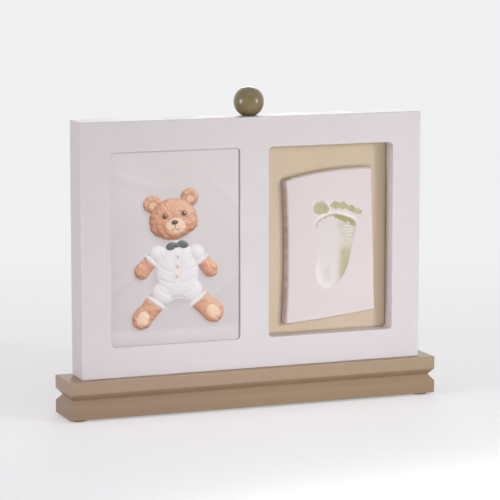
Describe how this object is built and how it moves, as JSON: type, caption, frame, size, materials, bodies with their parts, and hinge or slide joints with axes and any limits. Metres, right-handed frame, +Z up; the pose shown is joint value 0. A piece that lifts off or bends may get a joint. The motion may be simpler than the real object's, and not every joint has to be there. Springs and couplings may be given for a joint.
{
  "type": "double picture frame with clay print",
  "caption": "Standing double frame: white block with a photo window and a deep window for a clay footprint tile, on a grooved taupe plinth with a ball finial.",
  "frame": {"origin": "centre of the plane that the feet rest on, under the middle of the plinth", "axes": "+Z up, the windows face -Y, +X towards the clay print's side"},
  "size_m": [0.284, 0.035, 0.233],
  "materials": {
    "white_paint": "satin",
    "taupe_paint": "satin",
    "olive_lacquer": "gloss",
    "bare_fibreboard": "matte",
    "bare_beech": "matte",
    "beige_board": "matte",
    "clear_acrylic": "gloss",
    "photo_paper": "satin",
    "grey_card": "matte",
    "corrugated_card": "matte",
    "foam_tape": "matte",
    "air_dry_clay": "matte",
    "felt": "matte",
    "zinc_steel": "satin",
    "nickel_steel": "satin"
  },
  "bodies": {
    "frame": {"front_panel": "white_paint", "rear_rail_top": "white_paint", "rear_rail_bottom": "white_paint", "rear_rail_left": "white_paint", "rear_rail_right": "white_paint", "centre_rail": "bare_fibreboard", "back_panel": "bare_fibreboard", "photo_glazing": "clear_acrylic", "photo_print": "photo_paper", "photo_backing_card": "grey_card", "photo_spacer": "corrugated_card", "print_backboard": "beige_board", "adhesive_pads": "foam_tape", "clay_tile": "air_dry_clay", "plinth_lower_board": "taupe_paint", "plinth_upper_board": "taupe_paint", "plinth_screws": "zinc_steel", "foot_pads": "felt", "top_ball": "olive_lacquer", "ball_dowel": "bare_beech", "turn_button_screws": "zinc_steel"},
    "turn_button_top_left": {"turn_button_top_left": "nickel_steel"},
    "turn_button_top_right": {"turn_button_top_right": "nickel_steel"},
    "turn_button_bottom_left": {"turn_button_bottom_left": "nickel_steel"},
    "turn_button_bottom_right": {"turn_button_bottom_right": "nickel_steel"},
    "turn_button_left": {"turn_button_left": "nickel_steel"},
    "turn_button_right": {"turn_button_right": "nickel_steel"}
  },
  "joints": [
    {"name": "swivel_top_left", "type": "hinge", "parent": "frame", "child": "turn_button_top_left", "pos_m": [-0.07, 0.01275, 0.207], "axis": [0, 1, 0], "continuous": true},
    {"name": "swivel_top_right", "type": "hinge", "parent": "frame", "child": "turn_button_top_right", "pos_m": [0.07, 0.01275, 0.207], "axis": [0, 1, 0], "continuous": true},
    {"name": "swivel_bottom_left", "type": "hinge", "parent": "frame", "child": "turn_button_bottom_left", "pos_m": [-0.07, 0.01275, 0.034], "axis": [0, 1, 0], "range_deg": [-95, 95]},
    {"name": "swivel_bottom_right", "type": "hinge", "parent": "frame", "child": "turn_button_bottom_right", "pos_m": [0.07, 0.01275, 0.034], "axis": [0, 1, 0], "range_deg": [-95, 95]},
    {"name": "swivel_left", "type": "hinge", "parent": "frame", "child": "turn_button_left", "pos_m": [-0.126, 0.01275, 0.1205], "axis": [0, 1, 0], "continuous": true},
    {"name": "swivel_right", "type": "hinge", "parent": "frame", "child": "turn_button_right", "pos_m": [0.126, 0.01275, 0.1205], "axis": [0, 1, 0], "continuous": true}
  ]
}
